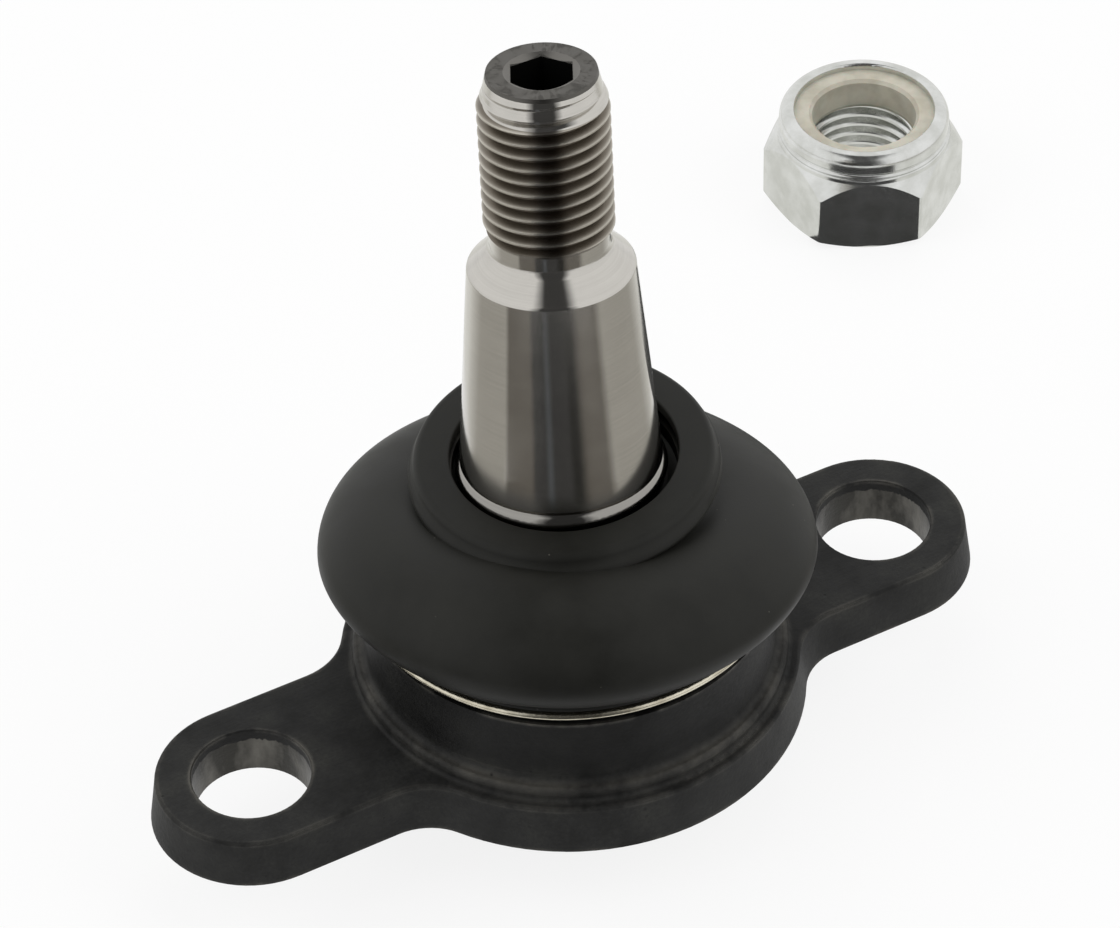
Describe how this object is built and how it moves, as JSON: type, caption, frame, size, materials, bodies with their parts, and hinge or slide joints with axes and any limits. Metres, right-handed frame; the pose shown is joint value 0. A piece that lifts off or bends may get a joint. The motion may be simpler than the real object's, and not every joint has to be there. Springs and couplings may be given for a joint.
{
  "type": "suspension ball joint",
  "caption": "Ball joint with a two-eared bolt-on flange, rubber boot, tapered stud with threaded end, and a separate lock nut.",
  "frame": {"origin": "middle of the two-bolt pattern on the flange's mounting face (its underside)", "axes": "+X along the ears from bolt hole to bolt hole, +Z along the hub towards the stud"},
  "size_m": [0.1413, 0.1051, 0.0883],
  "materials": {
    "forging_black": "black phosphated and oiled steel forging, matte",
    "ground_steel": "ground and polished bare steel",
    "bearing_plastic": "acetal resin, natural",
    "cover_steel": "pressed steel sheet, bare and oiled",
    "boot_rubber": "black chloroprene rubber, matte",
    "spring_wire": "drawn spring wire, bright",
    "ring_steel": "spring steel strip, dark",
    "zinc_plate": "bright zinc plated steel",
    "insert_plastic": "natural polyamide, slightly translucent"
  },
  "bodies": {
    "housing": {"forged_housing": "forging_black", "upper_race": "bearing_plastic", "lower_race": "bearing_plastic", "cover_plate": "cover_steel", "clamp_ring": "spring_wire"},
    "boot_middle": {"boot": "boot_rubber"},
    "boot_collar": {"seal_ring": "ring_steel"},
    "stud": {"ball_stud": "ground_steel"},
    "nut": {"lock_nut": "zinc_plate", "lock_insert": "insert_plastic"}
  },
  "joints": [
    {"name": "tilt_across", "type": "hinge", "parent": "housing", "child": "boot_middle", "pos_m": [0, 0, 0.01], "axis": [1, 0, 0], "range_deg": [-10, 24], "deforming": ["boot"]},
    {"name": "tilt_along", "type": "hinge", "parent": "boot_middle", "child": "boot_collar", "pos_m": [0, 0, 0.01], "axis": [0, 1, 0], "range_deg": [-19, 14.5], "deforming": ["boot"]},
    {"name": "stud_spin", "type": "hinge", "parent": "boot_collar", "child": "stud", "pos_m": [0, 0, 0.01], "axis": [0.0429, 0.1221, 0.9916], "continuous": true},
    {"name": "nut_lift", "type": "slide", "parent": "housing", "child": "nut", "axis": [0, 0, 1], "range_m": [0, 0.03]}
  ]
}
